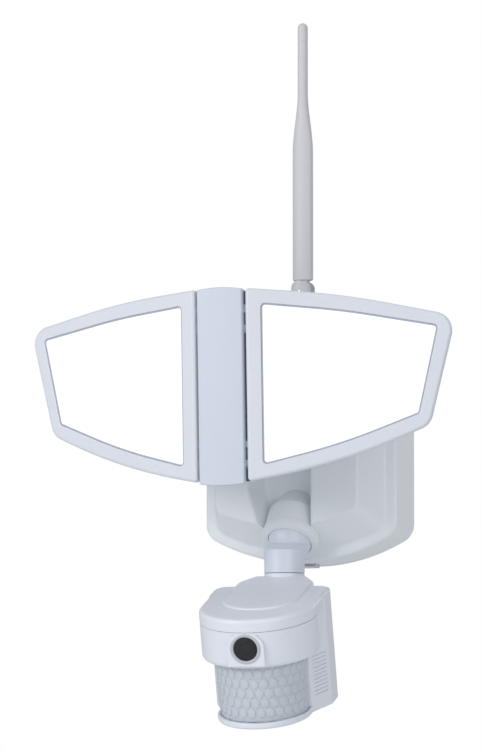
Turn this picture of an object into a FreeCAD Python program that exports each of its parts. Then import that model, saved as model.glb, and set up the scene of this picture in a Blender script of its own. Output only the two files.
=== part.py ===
import FreeCAD, Part
import math
import os

# Floodlight security camera for a wall: a wall housing, a two-panel lamp head on a ball-jointed arm,
# an aerial on top and a camera and motion sensor head that hangs below on a second ball joint.
# Millimetres. +X right, +Z up, -Y away from the wall. The origin is the centre of the wall plate's
# back face.

V = FreeCAD.Vector
X, Y, Z = V(1, 0, 0), V(0, 1, 0), V(0, 0, 1)

# ---- wall housing
plate_half_w = 70.5          # back plate, half width
plate_apex = 80.0            # back plate, centre to the middle of its arched end
arch_r = 134.0               # radius of the arched ends
plate_t = 3.0                # flange of the back plate
step_t = 3.0                 # raised step of the back plate, inside the shell
rim_y = -30.0                # front rim of the shell
rim_half_w = 69.3
rim_apex = 78.3
block_half_w = 61.5          # foot of the raised block, inside the rim
block_apex = 71.5
deck_y = -56.0               # front of the raised block
deck_half_w = 51.6
deck_apex = 54.5
wall_t = 2.5                 # shell wall
shell_step = 0.6             # the plate's edge stands this far outside the shell
valley_floor_y = -38.0       # floor of the channel down the middle of the block
valley_left_low = -19.0      # the channel's left edge on the deck, below and above its bend
valley_left_high = -27.7
valley_right = 17.3
valley_slope = 0.4           # how far the left flank leans in, per millimetre of depth
screw_spacing = 88.9         # wall box screws, centre to centre
screw_hole_r = 2.6
wire_entry = V(20, 0, 0)
wire_entry_r = 9.0
case_screw_at = (56.0, 40.0)

# ---- ball joints
ball_r = 15.0
seat_in_r = 15.05
seat_out_r = 16.9
pocket_r = 17.2
socket_r = 19.5
sensor_pocket_depth = 17.4   # behind the ball's centre, where the pocket lies in front of the channel
hump_length = 27.0           # the socket's fairing, tapering into the channel's floor
hump_r = 18.9
hump_end_r = 6.0
lip_r = 15.35
trunnion_r = 1.8
peg_r = 1.6
lamp_ball = V(0, -47, 25)
lamp_out = V(0, -1, 0)                      # the way the lamp socket opens
sensor_ball = V(0, -47, -63)
socket_lean = 35.0                          # sensor socket, forward of straight down
sensor_out = V(0, -math.sin(math.radians(socket_lean)), -math.cos(math.radians(socket_lean)))

# ---- lamp head, in its own frame: origin at the middle of the spine's front face
head_at = V(0, -167, 30)
head_lean = 2.2
spine_half_w = 15.9
spine_half_h = 63.5
spine_bulge = 1.0
spine_d = 38.0
cap_d = 3.6
fold_rest = 14.0                            # panels swept back
panel_u0 = 1.4                              # inner edge of a panel, from the fold line
panel_side_d = 16.0                         # depth of a panel's frame
panel_draft = 6.0                           # how much smaller its back edge is
fold_axis = (17.2, 6.5)                     # x and depth of the right panel's pivot
pivot_r = 2.6
pivot_pin_r = 1.2
pivot_z = 40.0
front_t = 2.2

# ---- aerial
aerial_y = -25.0
knuckle_r = 8.0
knuckle_top = 112.0
aerial_pin_z = 104.0
blade_half_w = 7.25
blade_half_t = 4.6
blade_shoulder = 200.0
blade_neck = 240.0
whip_r = 3.4
aerial_tip = 288.0

# ---- camera and sensor head, in its own frame: origin on the pan axis at the collar's seam
pan_y = -58.0
seam_z = -87.0
tube_top = -71.5
tube_r = 13.5
pan_rest = 8.6
sensor_lean = 17.8
spigot_r = 8.0
bush_r = 10.0
spigot_end = -99.0
barrel_y = -78.0
barrel_r = 38.4
body_half_w = 39.4
body_back = -30.0
cap_seam_z = -8.2
band_bottom = -33.2
body_bottom = -74.5
lens_r = 30.4
lip_front_r = 33.5
lens_at_z = -19.3
lens_glass_r = 8.0

seam_gap = 0.3               # open seam between two moving pieces


def unit(v):
    return V(v).normalize()


def cyl(r, start, axis, length):
    return Part.makeCylinder(r, length, start, axis)


def ring(r_out, r_in, start, axis, length):
    return cyl(r_out, start, axis, length).cut(cyl(r_in, start - unit(axis) * 1, axis, length + 2))


def box(lo, hi):
    return Part.makeBox(hi[0] - lo[0], hi[1] - lo[1], hi[2] - lo[2], V(*lo))


def ball(r, centre):
    return Part.makeSphere(r, centre)


def half_space(point, normal, size=400.0):
    """A big block on the side of the plane that the normal points to."""
    block = Part.makeBox(size, size, size, V(-size / 2, -size / 2, 0))
    block.Placement = FreeCAD.Placement(point, FreeCAD.Rotation(Z, normal))
    return block


def fuse(shapes):
    whole = shapes[0]
    for shape in shapes[1:]:
        whole = whole.fuse(shape)
    return whole.removeSplitter()


def mirrored(shape):
    return shape.mirror(V(0, 0, 0), X)


def rounded(points, plane=lambda a, b: V(a, 0, b)):
    """A closed wire through corner points (a, b, radius), each corner rounded by an arc."""
    count = len(points)
    starts, mids, ends = [], [], []
    for i, (a, b, r) in enumerate(points):
        here = V(a, b, 0)
        back = unit(V(*points[i - 1][:2], 0) - here)
        on = unit(V(*points[(i + 1) % count][:2], 0) - here)
        half = back.getAngle(on) / 2
        reach = r / math.tan(half)
        centre = here + unit(back + on) * (r / math.sin(half))
        starts.append(here + back * reach)
        mids.append(centre + unit(here - centre) * r)
        ends.append(here + on * reach)
    flat = lambda p: plane(p.x, p.y)
    edges = []
    for i in range(count):
        edges.append(Part.Arc(flat(starts[i]), flat(mids[i]), flat(ends[i])).toShape())
        following = starts[(i + 1) % count]
        if (following - ends[i]).Length > 1e-4:
            edges.append(Part.LineSegment(flat(ends[i]), flat(following)).toShape())
    return Part.Wire(edges)


def inset(points, amount):
    """The same corners moved inwards, for a corner list that runs anticlockwise."""
    moved = []
    count = len(points)
    for i, (a, b, r) in enumerate(points):
        here = V(a, b, 0)
        incoming = unit(here - V(*points[i - 1][:2], 0))
        outgoing = unit(V(*points[(i + 1) % count][:2], 0) - here)
        left_in, left_out = Z.cross(incoming), Z.cross(outgoing)
        corner = (left_in + left_out) * (1 / (1 + left_in.dot(left_out)))
        spot = here + corner * amount
        moved.append((spot.x, spot.y, max(r - amount, 0.6)))
    return moved


def plate_between(wire, direction):
    return Part.Face(wire).extrude(direction)


def loft(wires):
    return Part.makeLoft(wires, True, True)


def shield(half_w, apex, y, arc=arch_r, corner=13.0):
    """Outline with straight sides and arched ends, in the plane at depth y."""
    centre = arc - apex
    corner_x = half_w - corner
    corner_z = centre - math.sqrt((arc - corner) ** 2 - corner_x ** 2)
    swing = math.atan2(corner_x, centre - corner_z)
    join = V(arc * math.sin(swing), y, centre - arc * math.cos(swing))
    middle = V(corner_x + corner * math.sin((swing + math.pi / 2) / 2), y,
               corner_z - corner * math.cos((swing + math.pi / 2) / 2))
    side = V(half_w, y, corner_z)
    flip_x = lambda p: V(-p.x, p.y, p.z)
    flip_z = lambda p: V(p.x, p.y, -p.z)
    both = lambda p: V(-p.x, p.y, -p.z)
    arcs = [
        (flip_x(join), V(0, y, -apex), join), (join, middle, side),
        (flip_z(side), flip_z(middle), flip_z(join)), (flip_z(join), V(0, y, apex), both(join)),
        (both(join), both(middle), both(side)), (flip_x(side), flip_x(middle), flip_x(join)),
    ]
    edges = [Part.Arc(*points).toShape() for points in arcs]
    edges.insert(2, Part.LineSegment(side, flip_z(side)).toShape())
    edges.insert(6, Part.LineSegment(both(side), flip_x(side)).toShape())
    return Part.Wire(edges)


def shield_ring(outer, inner, y, depth):
    solid = plate_between(shield(*outer, y), V(0, -depth, 0))
    return solid.cut(plate_between(shield(*inner, y + 1), V(0, -depth - 2, 0)))


def screw(at, axis, r, length, head_r, head_t):
    """A pan-head screw: at is under the head, axis points along the thread."""
    shank = cyl(r, at, axis, length)
    head = cyl(head_r, at - unit(axis) * head_t, axis, head_t)
    slot = cyl(head_r * 0.45, at - unit(axis) * head_t, axis, head_t * 0.6)
    return shank.fuse(head).cut(slot)


os.makedirs("parts", exist_ok=True)
written = []


def save(name, shape):
    shape = shape.copy()
    if not shape.isValid():
        print("INVALID", name)
    shape.exportStep("parts/" + name + ".step")
    written.append(name)
    print(name, "solids", len(shape.Solids), "cm3", round(shape.Volume / 1000, 2))


# ======================================================================= wall housing
def make_back_plate():
    flange = plate_between(shield(plate_half_w, plate_apex, 0), V(0, -plate_t, 0))
    step = plate_between(shield(64.2, 73.2, -plate_t), V(0, -step_t, 0))
    plate = flange.fuse(step)
    groove = shield_ring((67.0, 76.5), (63.5, 73.0), 1, 2.2)
    cuts = [groove, cyl(wire_entry_r, wire_entry + V(0, 1, 0), -Y, 9)]
    for side in (-1, 1):
        cuts.append(cyl(screw_hole_r, V(side * screw_spacing / 2, 1, 0), -Y, 9))
        for level in (-1, 1):
            at = V(side * case_screw_at[0], 1, level * case_screw_at[1])
            cuts.append(cyl(2.1, at, -Y, 9))
            cuts.append(cyl(4.2, at, -Y, 3.6))
    for cut in cuts:
        plate = plate.cut(cut)
    posts = [cyl(2.5, V(x, -6, z), -Y, 3.4) for x in (-42, 42) for z in (16, 50, -18, -46)]
    return fuse([plate] + posts)


def make_gasket():
    return shield_ring((67.0, 76.5), (63.5, 73.0), 0, 1.2)


def make_housing_seal():
    return shield_ring((65.9, 74.9), (64.3, 73.3), -plate_t, 2.0)


def valley(grow, floor, floor_r):
    """Cutter for the channel that the arms come out of. Its left flank slopes and flares upwards."""
    wires = []
    for y in (floor - 42, floor):
        lean = valley_slope * (y - deck_y)
        low, high = valley_left_low - grow + lean, valley_left_high - grow + lean
        right = valley_right + grow
        points = [(low, -90), (right, -90), (right, 90), (high, 90), (high, -29.3), (low, -58)]
        wires.append(Part.makePolygon([V(a, y, b) for a, b in points + points[:1]]))
    cutter = loft(wires)
    floor_edges = [e for e in cutter.Edges if all(abs(v.Point.y - floor) < 1e-3 for v in e.Vertexes)
                   and abs(e.CenterOfMass.z) < 89]
    return cutter.makeFillet(floor_r, floor_edges)


def make_socket(centre, out, lip_from, lip_to):
    """Material round a ball, the pocket for its seat and the lip that holds the ball in."""
    solid = ball(socket_r, centre).cut(half_space(centre + out * lip_to, out))
    pocket = ball(pocket_r, centre).cut(half_space(centre + out * lip_from, out))
    return solid, pocket.fuse(ball(lip_r, centre))


def make_sensor_fairing():
    """Wall round the sensor socket where it stands in front of the channel, dying into its floor."""
    inward = sensor_out * -1
    wall = cyl(hump_r, sensor_ball, inward, sensor_pocket_depth)
    start = sensor_ball + inward * sensor_pocket_depth
    taper = Part.makeCone(hump_r, hump_end_r, hump_length, start, inward)
    return wall.fuse(taper).cut(half_space(V(0, valley_floor_y + wall_t - 0.2, 0), Y))


def make_housing_shell():
    body = loft([shield(plate_half_w - shell_step, plate_apex - shell_step, -plate_t),
                 shield(rim_half_w, rim_apex, rim_y)])
    front_edges = [e for e in body.Edges if all(abs(v.Point.y - rim_y) < 1e-3 for v in e.Vertexes)]
    body = body.makeFillet(2.0, front_edges)
    block = loft([shield(block_half_w, block_apex, rim_y + 1, corner=11.0),
                  shield(deck_half_w, deck_apex, deck_y, corner=7.0)])
    block = block.cut(valley(0, valley_floor_y, 6.0)).removeSplitter()
    deck_edges = [e for e in block.Edges if all(abs(v.Point.y - deck_y) < 1e-3 for v in e.Vertexes)]
    block = block.makeFillet(2.2, deck_edges)
    hollow = loft([shield(66.2, 75.2, -plate_t + 1), shield(65.8, 74.6, rim_y + wall_t)])
    inner_block = loft([shield(block_half_w - 3, block_apex - 3.5, rim_y + wall_t + 1, corner=9.0),
                        shield(deck_half_w - 3, deck_apex - 3.5, deck_y + wall_t, corner=5.0)])
    inner_block = inner_block.cut(valley(wall_t, valley_floor_y + wall_t, 8.0))
    shell = fuse([body, block])
    foot_edges = [e for e in shell.Edges if all(abs(v.Point.y - rim_y) < 1e-3 for v in e.Vertexes)
                  and abs(e.CenterOfMass.x) < block_half_w + 1 and abs(e.CenterOfMass.z) < block_apex]
    shell = shell.makeFillet(2.0, foot_edges).cut(hollow).cut(inner_block)
    bosses = [cyl(4.4, V(sx * case_screw_at[0], -6.2, sz * case_screw_at[1]), -Y, 21.8)
              for sx in (-1, 1) for sz in (-1, 1)]
    lamp_solid, lamp_pocket = make_socket(lamp_ball, lamp_out, 7.6, 10.0)
    lamp_way = cyl(pocket_r, lamp_ball, lamp_out * -1, 40)
    plug = half_space(sensor_ball - sensor_out * sensor_pocket_depth, sensor_out * -1)
    plug = plug.common(half_space(V(0, valley_floor_y + wall_t, 0), -Y))
    sensor_solid, sensor_pocket = make_socket(sensor_ball, sensor_out, 2.2, 3.4)
    sensor_way = cyl(pocket_r, sensor_ball, sensor_out * -1, 40).cut(plug)
    shell = fuse([shell, lamp_solid, sensor_solid, make_sensor_fairing()] + bosses)
    for room in (lamp_pocket.fuse(lamp_way), sensor_pocket.fuse(sensor_way)):
        shell = shell.cut(room)
    for slot in seat_pegs(peg_r + 0.05, 15.0, 18.6):
        shell = shell.cut(slot)
    for sx in (-1, 1):
        for sz in (-1, 1):
            shell = shell.cut(cyl(1.6, V(sx * case_screw_at[0], -5, sz * case_screw_at[1]), -Y, 16))
    shell = shell.cut(cyl(4.1, V(0, aerial_y, 60), Z, 30))
    shell = shell.cut(box((-5.2, -15.2, -90), (5.2, -6.8, -60)))
    return shell


def make_case_screws():
    return Part.makeCompound([
        screw(V(sx * case_screw_at[0], -2.6, sz * case_screw_at[1]), -Y, 1.6, 16, 3.6, 2.0)
        for sx in (-1, 1) for sz in (-1, 1)])


def make_seat(centre, out, edge):
    """Friction cup behind a ball, with two trunnions for the ball on the X axis."""
    cup = ball(seat_out_r, centre).cut(ball(seat_in_r, centre))
    cup = cup.cut(half_space(centre + out * edge, out))
    cup = cup.cut(cyl(7.5, centre, out * -1, 30))
    pegs = [cyl(trunnion_r, centre + X * side * 12.6, X * side, 3.6) for side in (-1, 1)]
    return fuse([cup] + pegs)


def seat_pegs(r, start, end):
    """Upright pegs above and below the lamp ball, which the lamp's seat turns on."""
    return [cyl(r, lamp_ball + Z * side * start, Z * side, end - start) for side in (-1, 1)]


def make_clamp(centre, out, start, depth):
    """Ring that holds the seat in its pocket from behind."""
    back = centre - out * start
    disc = cyl(pocket_r, back, out * -1, depth)
    disc = disc.cut(ball(seat_out_r + 0.25, centre))
    return disc.cut(cyl(9.0, centre, out * -1, 60))


def make_driver():
    board = box((-50, -11.0, 10), (50, -9.4, 56))
    parts = [box((-44, -25, 14), (-20, -11, 38)), box((26, -24, 14), (44, -11, 30)),
             cyl(6, V(-8, -11, 48), -Y, 15), cyl(5, V(8, -11, 48), -Y, 13),
             box((-40, -20, 42), (-22, -11, 50)), cyl(4, V(34, -11, 42), -Y, 10)]
    return board, Part.makeCompound(parts)


def make_control_board():
    board = box((-47, -11.0, -52), (47, -9.4, -12))
    chips = [box((-40, -13.2, -34), (-18, -11, -18)), box((18, -13.5, -30), (38, -11, -16)),
             box((24, -13, -50), (36, -11, -40))]
    return board, Part.makeCompound(chips)


def make_terminal_block():
    block = box((-34, -18, -6.5), (-6, -6, 6.5))
    for x in (-29, -20, -11):
        block = block.cut(cyl(2.0, V(x, -20, 0), Y, 8)).cut(cyl(1.8, V(x, -11, -8), Z, 16))
    return block


def make_service_door():
    """Hinged plug under the housing, over the card slot."""
    plug = box((-4.8, -14.5, -81.4), (4.8, -8.4, -77.8))
    pull = box((-4.8, -16.6, -81.4), (4.8, -14.4, -80.3))
    barrel = cyl(1.0, V(-4.8, -8.4, -80.4), X, 9.6)
    return fuse([plug, pull, barrel])


def make_service_sleeve():
    """Liner of the card slot, with the stop that the door closes on."""
    liner = box((-5.2, -15.2, -76.4), (5.2, -6.8, -66)).cut(box((-4.0, -14.0, -78), (4.0, -8.0, -64)))
    return liner


# ======================================================================= aerial
def make_connector():
    flange = cyl(6.0, V(0, aerial_y, 71.0), Z, 3.0).cut(box((-8, -40, 70), (8, -27.2, 80)))
    barrel = cyl(3.9, V(0, aerial_y, 74.0), Z, 5.6)
    thread = cyl(3.1, V(0, aerial_y, 79.6), Z, 8.0)
    return fuse([flange, barrel, thread])


def make_knuckle():
    """Fork with a rounded top, slotted on the side that the blade folds to."""
    base = 79.4
    body = cyl(knuckle_r, V(0, aerial_y, base), Z, knuckle_top - base)
    crown = cyl(knuckle_top - aerial_pin_z, V(0, aerial_y - 10, aerial_pin_z), Y, 20)
    stem = box((-10, aerial_y - 10, base), (10, aerial_y + 10, aerial_pin_z))
    body = body.common(fuse([crown, stem]))
    body = body.cut(box((-4.4, aerial_y - 3.5, 99.4), (9, aerial_y + 3.5, 115)))
    body = body.cut(cyl(3.15, V(0, aerial_y, base - 1), Z, 10.2))
    body = body.cut(cyl(4.0, V(0, aerial_y, base - 1), Z, 1.4))
    return body.cut(cyl(1.25, V(0, aerial_y - 10, aerial_pin_z), Y, 20))


def make_aerial_pin():
    return cyl(1.25, V(0, aerial_y - 7.4, aerial_pin_z), Y, 14.8)


def oval(half_w, half_t, z):
    curve = Part.Ellipse(V(half_w, aerial_y, z), V(0, aerial_y + half_t, z), V(0, aerial_y, z))
    return Part.Wire([curve.toShape()])


def make_blade():
    foot = knuckle_top + 0.4
    lower = loft([oval(blade_half_w, blade_half_t, foot), oval(blade_half_w, blade_half_t, blade_shoulder)])
    taper = loft([oval(blade_half_w, blade_half_t, blade_shoulder), oval(whip_r + 0.1, whip_r, blade_neck)])
    whip = loft([oval(whip_r + 0.1, whip_r, blade_neck), oval(whip_r, whip_r - 0.1, aerial_tip - whip_r)])
    tip = ball(whip_r - 0.05, V(0, aerial_y, aerial_tip - whip_r))
    tongue = box((-3.9, aerial_y - 3.2, aerial_pin_z), (3.9, aerial_y + 3.2, foot + 1))
    eye = cyl(3.9, V(0, aerial_y - 3.2, aerial_pin_z), Y, 6.4)
    blade = fuse([lower, taper, whip, tip, tongue, eye])
    return blade.cut(cyl(1.3, V(0, aerial_y - 5, aerial_pin_z), Y, 10))


# ======================================================================= lamp head
head_frame = FreeCAD.Placement(head_at, FreeCAD.Rotation(X, head_lean))
fold_turn = FreeCAD.Placement(V(spine_half_w + 1, 0, 0), FreeCAD.Rotation(Z, fold_rest))
panel_outline = [(panel_u0, -62.4, 2.5), (63.5, -51.6, 420.0), (121.2, -27.8, 12.0),
                 (139.0, 42.6, 12.0), (64.0, 58.4, 500.0), (panel_u0, 63.8, 2.5)]
window_outline = [(11.5, -51.9, 3.0), (63.0, -39.8, 420.0), (113.0, -20.2, 3.0),
                  (126.0, 36.5, 3.0), (65.0, 48.2, 500.0), (11.5, 53.9, 3.0)]


def in_head(shape):
    placed = shape.copy()
    placed.Placement = head_frame.multiply(placed.Placement)
    return placed


def panel_plane(depth):
    return lambda a, b: V(a, depth, b)


def panel_wire(points, depth):
    return rounded(points, panel_plane(depth))


def on_panel(shape, side):
    """Puts a shape made flat, as the right panel, in its swept-back place on either side."""
    placed = shape.copy()
    placed.Placement = fold_turn.multiply(placed.Placement)
    if side < 0:
        placed = mirrored(placed)
    return in_head(placed)


def fold_point():
    """The pivot's u and depth in the flat panel."""
    across, deep = fold_axis[0] - (spine_half_w + 1), fold_axis[1]
    turn = math.radians(fold_rest)
    return (across * math.cos(turn) + deep * math.sin(turn),
            deep * math.cos(turn) - across * math.sin(turn))


def make_panel_frame():
    outline_back = inset(panel_outline, panel_draft)
    front = plate_between(panel_wire(panel_outline, 0), V(0, 6, 0))
    edges = [e for e in front.Edges if all(abs(v.Point.y) < 1e-3 for v in e.Vertexes)]
    front = front.makeFillet(2.2, edges)
    rear = loft([panel_wire(panel_outline, 6), panel_wire(outline_back, panel_side_d)])
    solid = fuse([front, rear])
    room = plate_between(panel_wire(inset(window_outline, -4.5), front_t), V(0, 20, 0))
    solid = solid.cut(room)
    solid = solid.cut(plate_between(panel_wire(window_outline, -1), V(0, 8, 0)))
    u, w = fold_point()
    for level in (-1, 1):
        z = level * pivot_z
        z = z + 4 * level
        solid = solid.cut(cyl(pivot_r + 0.7, V(u, w, z - 8.4), Z, 16.8))
        solid = solid.cut(box((u - 6, w - 2.2, z - 8.4), (u, w + 3.3, z + 8.4)))
        web = box((u, w - 1.8, z - 3.6), (u + 4.2, w + 1.8, z + 3.6))
        solid = fuse([solid, web, cyl(pivot_r, V(u, w, z - 3.6), Z, 7.2)])
        solid = solid.cut(cyl(pivot_pin_r + 0.05, V(u, w, z - 9), Z, 18))
    for a, b in panel_screw_spots():
        solid = solid.cut(cyl(1.3, V(a, panel_side_d + 1, b), -Y, 9))
    return solid


def panel_screw_spots():
    return [(9.4, 47.0), (9.4, -45.5), (126.0, 39.3), (112.6, -24.6)]


def make_panel_pieces():
    inner = inset(window_outline, -4.2)
    seal = plate_between(panel_wire(inner, front_t), V(0, 0.8, 0))
    seal = seal.cut(plate_between(panel_wire(inset(window_outline, -1.0), 0), V(0, 9, 0)))
    window = plate_between(panel_wire(inner, front_t + 0.8), V(0, 2.4, 0))
    tray_top = front_t + 3.2
    tray = loft([panel_wire(inner, tray_top), panel_wire(inner, tray_top + 6.6)])
    tray = tray.cut(loft([panel_wire(inset(window_outline, 1), tray_top - 0.1),
                          panel_wire(inset(window_outline, 9), tray_top + 6.7)]))
    board = plate_between(panel_wire(inner, tray_top + 6.6), V(0, 1.6, 0))
    spots = [(u, z) for u in range(26, 106, 13) for z in (-16, 0, 16, 32)]
    chips = [box((u - 1.75, tray_top + 5.6, z - 1.4), (u + 1.75, tray_top + 6.6, z + 1.4))
             for u, z in spots if u * 0.24 - 40 < z < 48 - u * 0.16]
    back_wire = panel_wire(inset(window_outline, -3.8), tray_top + 8.2)
    back_in = plate_between(back_wire, V(0, panel_side_d - 13.6, 0))
    back_plate = plate_between(panel_wire(inset(panel_outline, panel_draft), panel_side_d), V(0, 2.0, 0))
    fins = []
    for u in range(20, 112, 8):
        high, low = 50.5 - u * 0.155, -46.0 + u * 0.235
        fins.append(box((u - 0.9, panel_side_d + 2, low), (u + 0.9, panel_side_d + 8, high)))
    back = fuse([back_in, back_plate] + fins)
    screws = []
    for a, b in panel_screw_spots():
        hole = cyl(1.5, V(a, 0, b), Y, 40)
        tray, board, back = tray.cut(hole), board.cut(hole), back.cut(hole)
        screws.append(screw(V(a, panel_side_d + 2, b), -Y, 1.3, 9, 2.6, 1.6))
    return {"seal": seal, "window": window, "reflector": tray, "led_board": board,
            "leds": Part.makeCompound(chips), "back": back, "screws": Part.makeCompound(screws)}


def spine_outline(half_w, trim):
    high = spine_half_h - trim
    rise = 2 * spine_bulge * half_w / spine_half_w
    arch = 0.75 * half_w ** 2 / rise
    return [(-half_w, -high, 1.2), (0, -high - rise, arch), (half_w, -high, 1.2),
            (half_w, high, 1.2), (0, high + rise, arch), (-half_w, high, 1.2)]


def spine_wire(half_w, depth, trim=0.0):
    return rounded(spine_outline(half_w, trim), panel_plane(depth))


def make_spine():
    side_in = 8.0
    outer = loft([spine_wire(spine_half_w, cap_d), spine_wire(side_in + 2, spine_d, 3.0)])
    inner = loft([spine_wire(spine_half_w - 2.6, cap_d - 1, 2.6),
                  spine_wire(side_in - 0.6, spine_d - 3, 5.6)])
    frame = outer.cut(inner)
    pad = cyl(9.0, V(0, spine_d - 3, -1.6), Y, 3.0).cut(cyl(5, V(0, spine_d - 4, -1.6), Y, 6))
    frame = fuse([frame.cut(cyl(5, V(0, spine_d - 9, -1.6), Y, 12)), pad])
    pins = []
    for level in (-1, 1):
        z = level * (pivot_z + 4)
        for side in (-1, 1):
            at = V(side * fold_axis[0], fold_axis[1], 0)
            room = cyl(pivot_r + 0.5, at + V(0, 0, z - 4.0), Z, 8.0)
            frame = frame.cut(room)
            ears = []
            for foot in (z - 8.0, z + 4.0):
                ears.append(cyl(pivot_r, at + V(0, 0, foot), Z, 4.0))
                low_x, high_x = sorted((side * (spine_half_w - 2.4), at.x))
                ears.append(box((low_x, at.y - 2.2, foot), (high_x, at.y + 2.2, foot + 4.0)))
            frame = fuse([frame] + ears)
            frame = frame.cut(cyl(pivot_pin_r, at + V(0, 0, z - 9), Z, 18))
            pins.append(cyl(pivot_pin_r, at + V(0, 0, z - 8), Z, 16))
    posts = [cyl(4.2, V(0, cap_d, z), Y, spine_d - cap_d - 2) for z in (-48, 48)]
    frame = fuse([frame] + posts)
    for z in (-48, 48):
        frame = frame.cut(cyl(1.4, V(0, cap_d - 1, z), Y, 45)).cut(cyl(2.9, V(0, 12, z), Y, 40))
    cap = plate_between(spine_wire(spine_half_w, 0), V(0, cap_d, 0))
    edges = [e for e in cap.Edges if all(abs(v.Point.y) < 1e-3 for v in e.Vertexes)]
    cap = cap.makeFillet(0.9, edges)
    cap = cap.cut(plate_between(spine_wire(spine_half_w - 2.6, 2.2, 2.6), V(0, 9, 0)))
    studs = [cyl(3.0, V(0, 1.5, z), Y, cap_d - 1.5) for z in (-48, 48)]
    cap = fuse([cap] + studs)
    for z in (-48, 48):
        cap = cap.cut(cyl(1.2, V(0, 1.9, z), Y, 9))
    screws = [screw(V(0, 12, z), -Y, 1.2, 10, 2.5, 1.8) for z in (-48, 48)]
    return frame, cap, Part.makeCompound(screws), Part.makeCompound(pins)


def make_lamp_arm():
    target = head_frame.multVec(V(0, spine_d, -1.6))
    reach = target - lamp_ball
    way = unit(reach)
    neck = Part.makeCone(6.4, 7.0, 12, lamp_ball + way * 11, way)
    flare = Part.makeCone(7.0, 11.0, 14, lamp_ball + way * 23, way)
    tube = cyl(11.0, lamp_ball + way * 37, way, reach.Length - 37)
    arm = fuse([ball(ball_r, lamp_ball), neck, flare, tube])
    arm = arm.cut(cyl(4.2, lamp_ball - way * 20, way, 160))
    for side in (-1, 1):
        arm = arm.cut(cyl(trunnion_r + 0.05, lamp_ball + X * side * 12.4, X * side, 5))
    back = half_space(head_frame.multVec(V(0, spine_d, 0)), head_frame.Rotation.multVec(-Y))
    return arm.cut(back)


# ======================================================================= camera and sensor head
pan_point = V(0, pan_y, seam_z)
sensor_turn = FreeCAD.Rotation(Z, pan_rest).multiply(FreeCAD.Rotation(X, sensor_lean))
sensor_frame = FreeCAD.Placement(pan_point, sensor_turn)


def in_sensor(shape):
    placed = shape.copy()
    placed.Placement = sensor_frame.multiply(placed.Placement)
    return placed


def make_elbow():
    """Ball, a sheared neck that steps forward, and the upright tube with its pan spigot."""
    neck_top = Part.Wire([Part.Circle(sensor_ball + V(0, -1.5, -4.0), -Z, 13.8).toShape()])
    neck_foot = Part.Wire([Part.Circle(V(0, pan_y, tube_top), -Z, tube_r - 0.05).toShape()])
    tube = cyl(tube_r, V(0, pan_y, tube_top), -Z, tube_top - seam_z - seam_gap / 2)
    spigot = cyl(spigot_r, V(0, pan_y, seam_z + 1.0), -Z, seam_z + 1.0 - spigot_end)
    elbow = fuse([ball(ball_r, sensor_ball), loft([neck_top, neck_foot]), tube, spigot])
    elbow = elbow.cut(cyl(4.6, V(0, pan_y, tube_top), -Z, 60))
    way_down = V(0, pan_y, tube_top - 3) - sensor_ball
    elbow = elbow.cut(cyl(4.6, sensor_ball, way_down, way_down.Length))
    elbow = elbow.cut(cyl(4.6, sensor_ball, V(0, 1, 0.6), 30))
    for side in (-1, 1):
        elbow = elbow.cut(cyl(trunnion_r + 0.05, sensor_ball + X * side * 12.4, X * side, 5))
    return elbow


def make_pan_bush():
    """Nylon bush that the spigot turns in."""
    return ring(bush_r, spigot_r + 0.06, V(0, pan_y, seam_z - 0.4), -Z, 7.6)


def u_plan(half_w, front_r, back, z, squeeze=1.0):
    """Barrel plan: a round front on straight sides, closed by a straight back with round corners."""
    r = 7.0
    front = V(0, barrel_y - front_r * squeeze, z)
    right, left = V(half_w, barrel_y, z), V(-half_w, barrel_y, z)
    corner = r * (1 - math.sqrt(0.5))
    points = [Part.Arc(left, front, right).toShape() if abs(half_w - front_r * squeeze) < 1e-6
              else bowed(left, front, right)]
    points.append(Part.LineSegment(right, V(half_w, back - r, z)).toShape())
    points.append(Part.Arc(V(half_w, back - r, z), V(half_w - corner, back - corner, z),
                           V(half_w - r, back, z)).toShape())
    points.append(Part.LineSegment(V(half_w - r, back, z), V(r - half_w, back, z)).toShape())
    points.append(Part.Arc(V(r - half_w, back, z), V(corner - half_w, back - corner, z),
                           V(-half_w, back - r, z)).toShape())
    points.append(Part.LineSegment(V(-half_w, back - r, z), left).toShape())
    return Part.Wire(points)


def bowed(left, front, right):
    """Half an ellipse from left to right through the front point."""
    centre = (left + right) * 0.5
    across, deep = (right - left).Length / 2, (front - centre).Length
    if across >= deep:
        curve = Part.Ellipse(right, front, centre)
    else:
        curve = Part.Ellipse(front, right, centre)
    first, last = curve.parameter(left), curve.parameter(right)
    if last < first:
        last += 2 * math.pi
    return Part.ArcOfEllipse(curve, first, last).toShape()


def rear_plan(z, grow=0.0):
    """Plan of the rear body: straight back and sides, bevelled forward to the lens."""
    half, bevel_y, front_y, front_x = body_half_w - grow, -52.0, -72.0 + grow * 0.6, 30.6 - grow * 0.3
    back = body_back - grow
    points = [(-half, bevel_y, 3.0), (-front_x, front_y, 1.5), (front_x, front_y, 1.5), (half, bevel_y, 3.0),
              (half, back, 7.0 - grow), (-half, back, 7.0 - grow)]
    return rounded(points, lambda a, b: V(a, b, z))


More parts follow.
